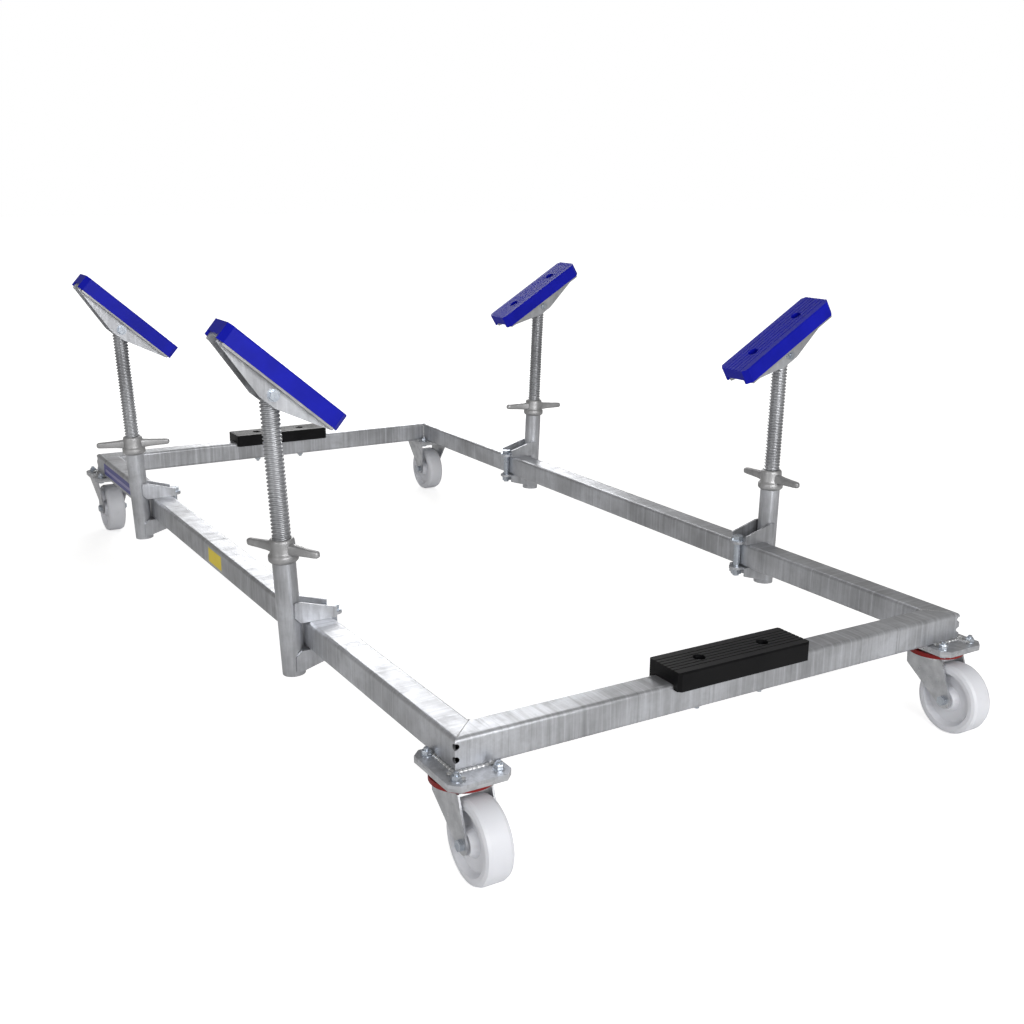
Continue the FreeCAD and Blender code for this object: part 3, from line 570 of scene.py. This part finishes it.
def moulded_pad(name, length, corner, place, slot, body, node):
    """A pad with grooves, counterbored holes and its four corners cut off."""
    along = place @ Matrix.Rotation(math.radians(90), 4, "Z") @ Matrix.Rotation(math.radians(90), 4, "X")
    mesh = bmesh.new()
    add_prism(mesh, pad_profile(), -length / 2, length / 2, along)
    blank = plain_object(name + "_blank", mesh)
    cutters = bmesh.new()
    for end in (-1, 1):
        spot = place @ Matrix.Translation((end * HOLE_SPACE / 2, 0, 0))
        add_lathe(cutters, BOLT_HOLE, spot, BORE_STEPS)
        for hand in (-1, 1):
            tip = (end * (length / 2 + CUT_PAST), hand * (PAD_HALF_WIDTH + CUT_PAST))
            on_end = (tip[0], hand * (PAD_HALF_WIDTH - corner - CUT_PAST))
            on_side = (end * (length / 2 - corner - CUT_PAST), tip[1])
            add_prism(cutters, [on_end, tip, on_side], -CUT_PAST, PAD_HEIGHT + CUT_PAST, place)
    carve(blank, plain_object(name + "_cutters", cutters))
    shaped = bmesh.new()
    shaped.from_mesh(blank.data)
    bpy.data.objects.remove(blank)
    piece(name, shaped, slot, body, (node,), PAD_SMOOTH, PAD_BEVEL)


def bunk_pad(where):
    """A blue pad and the carrier's two lips beneath it, drawn dark as painted shade under the pad's
    edges; the pad's mount gives its top face.
    """
    mount = mounts["bunk_face_" + where]
    normal = Vector(mount["axis"])
    place = basis(Vector(mount["pos_m"]) - normal * PAD_HEIGHT, normal, (1, 0, 0))
    lips = bmesh.new()
    outer = PAD_HALF_WIDTH - LIP_INSET
    half = BUNK_LENGTH / 2 - BUNK_CORNER
    for hand in (-1, 1):
        near, far = hand * LIP_INNER, hand * outer
        outline = [(-half, near), (half, near), (half, far), (-half, far)]
        add_prism(lips, outline, -LIP_THICK - LIP_GAP, -LIP_GAP, place)
    # The lips are partly the carrier's edge and partly painted shade: their darker cast-iron look stands
    # in for the shade under the pad's overhang.
    piece("pad_lips_painted_shade_" + where, lips, "galvanised", "pad_" + where, look="cast_iron")
    moulded_pad("pad_" + where, BUNK_LENGTH, BUNK_CORNER, place, "bunk_plastic", "pad_" + where,
                "bunk_pad_" + where)


def keel_pad(end):
    """A black pad on an end beam, placed by the mount on its top face."""
    mount = mounts["keel_face_" + end]
    place = Matrix.Translation(Vector(mount["pos_m"]) - Vector((0, 0, PAD_HEIGHT)))
    moulded_pad("keel_pad_" + end, KEEL_LENGTH, KEEL_CORNER, place, "keel_plastic", "frame",
                end + "_keel_pad")


# ---------------------------------------------------------------- bolts and welds

PLATE_TOP, PLATE_BOTTOM = 190 * MM, 178 * MM
CASTOR_NUT = {"flats": 16 * MM, "head": 8 * MM, "washer": 10 * MM, "washer_thick": 1.6 * MM,
              "tip": 5 * MM, "radius": 4.9 * MM}
CASTOR_HEAD = {"flats": 16 * MM, "head": 6.5 * MM}
KEEL_NUT = {"flats": 17 * MM, "head": 8 * MM, "washer": 11 * MM, "washer_thick": 2 * MM}
TURN_X, TURN_Y = 0.3, 0.5       # radians, so that no two nuts of a plate stand alike
UPSIDE_DOWN = Matrix.Rotation(math.pi, 4, "X")
FILLET, BLOB, BLOB_FOOT, BLOB_HEIGHT = 4.2 * MM, 5.2 * MM, 1 * MM, 6 * MM
CORNER_BEAD, SEAM_BEAD, SEAM_DROP = 3.2 * MM, 2.2 * MM, 1.3 * MM
PLATE_END, WELD_INSET = 20 * MM, 6 * MM
RIPPLE, MIN_RIPPLES, BEAD_SIDES = 2.2 * MM, 6, 10
BEAD_MEAN, BEAD_RIPPLE, BEAD_WANDER, WANDER_PACE, BEAD_END = 0.86, 0.14, 0.06, 1.7, 0.35
BEAD_HINT = (0.3, 0.5, 0.81)
WELD_SMOOTH = 60


def castor_bolts(where):
    """Nuts above the mounting plate and bolt heads under the castor's own plate."""
    mount = mounts["castor_bolts_" + where]
    middle_x, middle_y = mount["pos_m"][:2]
    spacing_x, spacing_y = mount["dims"]["spacing_x_mm"], mount["dims"]["spacing_y_mm"]
    mesh = bmesh.new()
    for i in (-1, 1):
        for j in (-1, 1):
            x = middle_x + i * spacing_x / 2 * MM
            y = middle_y + j * spacing_y / 2 * MM
            turn = Matrix.Rotation(TURN_X * i + TURN_Y * j, 4, "Z")
            add_bolt(mesh, Matrix.Translation((x, y, PLATE_TOP)) @ turn, **CASTOR_NUT)
            add_bolt(mesh, Matrix.Translation((x, y, PLATE_BOTTOM)) @ UPSIDE_DOWN, **CASTOR_HEAD)
    piece("castor_bolts_" + where, mesh, "zinc_bolts", "frame")


def keel_nuts():
    """Washers and nuts under both beams, on the keel pads' bolts."""
    mesh = bmesh.new()
    for end in ("front", "rear"):
        middle = Vector(mounts["keel_face_" + end]["pos_m"])
        for hand in (-1, 1):
            spot = Matrix.Translation((middle.x + hand * HOLE_SPACE / 2, middle.y, PLATE_TOP))
            add_bolt(mesh, spot @ UPSIDE_DOWN, **KEEL_NUT)
    piece("keel_nuts", mesh, "zinc_bolts", "frame")


def bead(mesh, start, end, radius, seed):
    """A weld bead of overlapping ripples along a straight joint; seed shifts its wandering."""
    start, end = Vector(start), Vector(end)
    place = basis(start, end - start, BEAD_HINT)
    length = (end - start).length
    steps = max(MIN_RIPPLES, int(length / RIPPLE))
    rings = []
    for step in range(steps + 1):
        wander = BEAD_WANDER * math.sin(step * WANDER_PACE + seed)
        swell = radius * (BEAD_MEAN + BEAD_RIPPLE * math.cos(step * math.pi) + wander)
        if step in (0, steps):
            swell *= BEAD_END
        rings.append([mesh.verts.new(place @ Vector((x, y, length * step / steps)))
                      for x, y in polygon(BEAD_SIDES, swell)])
    skin(mesh, rings)


def corner_welds(where):
    """Beads along the mitre and round the mounting plate, with blobs where the plate's beads end."""
    plate_low, plate_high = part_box("mounting_plate_" + where)
    rail_low, rail_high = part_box("left_rail" if "left" in where else "right_rail")
    beam_low, beam_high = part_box(where.split("_")[0] + "_beam")
    side = -1 if "left" in where else 1
    end = -1 if "front" in where else 1
    outer_x, inner_x = (rail_low[0], rail_high[0]) if side < 0 else (rail_high[0], rail_low[0])
    outer_y, inner_y = (beam_low[1], beam_high[1]) if end < 0 else (beam_high[1], beam_low[1])
    plate_x = plate_high[0] if side < 0 else plate_low[0]
    plate_y = plate_high[1] if end < 0 else plate_low[1]
    bottom, top = beam_low[2], beam_high[2]
    seam_level = top - SEAM_DROP
    inner = (inner_x, inner_y)
    plate_ends = ((outer_x, plate_low[1] + PLATE_END), (outer_x, plate_high[1] - PLATE_END),
                  (plate_low[0] + PLATE_END, outer_y), (plate_high[0] - PLATE_END, outer_y))
    mesh = bmesh.new()
    bead(mesh, (*inner, bottom), (*inner, top - WELD_INSET), CORNER_BEAD, 1)
    bead(mesh, (*plate_ends[0], bottom), (*plate_ends[1], bottom), FILLET, 2)
    bead(mesh, (*plate_ends[2], bottom), (*plate_ends[3], bottom), FILLET, 3)
    bead(mesh, (*inner, bottom), (inner_x, plate_y, bottom), FILLET, 4)
    bead(mesh, (*inner, bottom), (plate_x, inner_y, bottom), FILLET, 5)
    seam_end = (outer_x - side * WELD_INSET, outer_y - end * WELD_INSET)
    bead(mesh, (*seam_end, seam_level), (*inner, seam_level), SEAM_BEAD, 6)
    for index, spot in enumerate(plate_ends):
        bead(mesh, (*spot, bottom - BLOB_FOOT), (*spot, bottom + BLOB_HEIGHT), BLOB, index)
    piece("welds_" + where, mesh, "weld", "frame", smooth_angle=WELD_SMOOTH)


# ---------------------------------------------------------------- labels

FILM_PROUD, FILM_SUNK, FILM_LAYER = 0.4 * MM, 0.1 * MM, 0.3 * MM
# (name, layer, start and end along the rail, start and end above its bottom), in mm.
FILMS = (("label_yellow", 0, -3, 93, 13, 49),
         ("label_blue", 0, 800, 1150, 13, 48),
         ("label_pale", 1, 820, 1130, 25, 34))
YZ_PLANE = Matrix(((0, 0, 1, 0), (1, 0, 0, 0), (0, 1, 0, 0), (0, 0, 0, 1)))


def labels():
    """Blank films on the left rail's outer face, the pale one lying on the blue one."""
    rail_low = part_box("left_rail")[0]
    for name, layer, start, end, low, high in FILMS:
        face = rail_low[0] - layer * FILM_LAYER
        bottom, top = rail_low[2] + low * MM, rail_low[2] + high * MM
        start_y, end_y = start * MM, end * MM
        mesh = bmesh.new()
        outline = [(start_y, bottom), (end_y, bottom), (end_y, top), (start_y, top)]
        add_prism(mesh, outline, face - FILM_PROUD, face + FILM_SUNK, YZ_PLANE)
        piece(name, mesh, name, "frame")


# ---------------------------------------------------------------- assemble

for corner in CORNERS:
    jack_screw(corner)
    wing_nut(corner)
    bunk_pad(corner)
    castor_bolts(corner)
    corner_welds(corner)
keel_pad("front")
keel_pad("rear")
keel_nuts()
labels()


# ---------------------------------------------------------------- floor, light and camera

WHITE = (1, 1, 1, 1)
FLOOR_SIZE, FLOOR_DROP = 60, 0.0005
FLOOR_GREY, FLOOR_PALE = (0.80, 0.80, 0.80), (0.83, 0.83, 0.83)
GLOW_NEAR, GLOW_FAR = 0.62, 1.0
GLOW_START, GLOW_END = 2.0, 7.0     # metres from the frame's middle
WORLD_LIGHT, WORLD_STRENGTH = (1.0, 0.985, 0.96, 1), 0.30
# (name, place, size, watts) of the softboxes, which all point at LIT_SPOT.
SOFTBOXES = (("key", (-0.6, -5.2, 2.0), (4.0, 2.2), 172),
             ("fill", (-4.6, -1.6, 1.6), (2.0, 2.0), 30),
             ("back", (2.4, 5.4, 2.4), (3.0, 2.2), 95),
             ("top", (1.6, 1.5, 4.4), (3.0, 3.0), 20))
LIT_SPOT = Vector((0, 0, 0.3))
CAMERA_PLACE = (-1.491, -2.808, 1.139)
AZIMUTH, ELEVATION, ROLL = math.radians(-31.27), math.radians(15.28), math.radians(0.55)
SENSOR_WIDTH, FOCAL_LENGTH = 36.0, 43.5
CLIP_NEAR, CLIP_FAR = 0.05, 100


def plain_white(shader):
    """What the camera sees of the floor is lifted to white, more so away from the object."""
    tree = shader.tree
    path = tree.nodes.new("ShaderNodeLightPath")
    glow = tree.nodes.new("ShaderNodeEmission")
    glow.inputs["Color"].default_value = WHITE
    distance = tree.nodes.new("ShaderNodeVectorMath")
    distance.operation = "LENGTH"
    tree.links.new(shader.object_space, distance.inputs[0])
    strength = shader.levels(distance.outputs["Value"], GLOW_START, GLOW_END, GLOW_NEAR, GLOW_FAR)
    tree.links.new(strength, glow.inputs["Strength"])
    total = tree.nodes.new("ShaderNodeAddShader")
    choose = tree.nodes.new("ShaderNodeMixShader")
    tree.links.new(shader.surface.outputs["BSDF"], total.inputs[0])
    tree.links.new(glow.outputs["Emission"], total.inputs[1])
    tree.links.new(path.outputs["Is Camera Ray"], choose.inputs["Fac"])
    tree.links.new(shader.surface.outputs["BSDF"], choose.inputs[1])
    tree.links.new(total.outputs["Shader"], choose.inputs[2])
    tree.links.new(choose.outputs["Shader"], tree.nodes["Material Output"].inputs["Surface"])


def floor():
    """A pale, nearly even floor just under the wheels."""
    bpy.ops.mesh.primitive_plane_add(size=FLOOR_SIZE, location=(0, 0, -FLOOR_DROP))
    item = bpy.context.object
    item.name = "floor"
    shader = Shader("floor", roughness=0.9)
    cloudy = shader.levels(shader.noise(scale=3.0), low=0.3, high=0.7)
    shader.colour(shader.mix(cloudy, FLOOR_GREY, FLOOR_PALE))
    shader.surface.inputs["Specular IOR Level"].default_value = 0.1
    plain_white(shader)
    item.data.materials.append(shader.material)


def world():
    """Even pale light on the object, and white where the camera looks past the floor."""
    bpy.context.scene.world = bpy.data.worlds.new("studio")
    setting = bpy.context.scene.world
    setting.use_nodes = True
    tree = setting.node_tree
    background = tree.nodes["Background"]
    background.inputs["Color"].default_value = WORLD_LIGHT
    background.inputs["Strength"].default_value = WORLD_STRENGTH
    white = tree.nodes.new("ShaderNodeBackground")
    white.inputs["Color"].default_value = WHITE
    white.inputs["Strength"].default_value = 1.0
    path = tree.nodes.new("ShaderNodeLightPath")
    choose = tree.nodes.new("ShaderNodeMixShader")
    tree.links.new(path.outputs["Is Camera Ray"], choose.inputs["Fac"])
    tree.links.new(background.outputs["Background"], choose.inputs[1])
    tree.links.new(white.outputs["Background"], choose.inputs[2])
    tree.links.new(choose.outputs["Shader"], tree.nodes["World Output"].inputs["Surface"])


def softbox(name, spot, size, power):
    """A rectangular lamp at spot, turned to LIT_SPOT."""
    light = bpy.data.lights.new(name, "AREA")
    light.shape = "RECTANGLE"
    light.size, light.size_y = size
    light.energy = power
    item = bpy.data.objects.new(name, light)
    bpy.context.collection.objects.link(item)
    item.location = spot
    item.rotation_euler = (LIT_SPOT - Vector(spot)).to_track_quat("-Z", "Y").to_euler()


def camera():
    """Three-quarter view from the front left, a little above the pads."""
    back = Vector((math.sin(AZIMUTH) * math.cos(ELEVATION), -math.cos(AZIMUTH) * math.cos(ELEVATION),
                   math.sin(ELEVATION)))
    right = (-back).cross(Vector((0, 0, 1))).normalized()
    up = right.cross(-back)
    tilted_right = right * math.cos(ROLL) + up * math.sin(ROLL)
    tilted_up = up * math.cos(ROLL) - right * math.sin(ROLL)
    lens = bpy.data.cameras.new("camera")
    lens.sensor_width = SENSOR_WIDTH
    lens.lens = FOCAL_LENGTH
    lens.clip_start, lens.clip_end = CLIP_NEAR, CLIP_FAR
    item = bpy.data.objects.new("camera", lens)
    bpy.context.collection.objects.link(item)
    turn = Matrix((tilted_right, tilted_up, back)).transposed().to_4x4()
    item.matrix_world = Matrix.Translation(CAMERA_PLACE) @ turn
    bpy.context.scene.camera = item


floor()
world()
for lamp in SOFTBOXES:
    softbox(*lamp)
camera()
bpy.context.scene.view_settings.view_transform = "Standard"
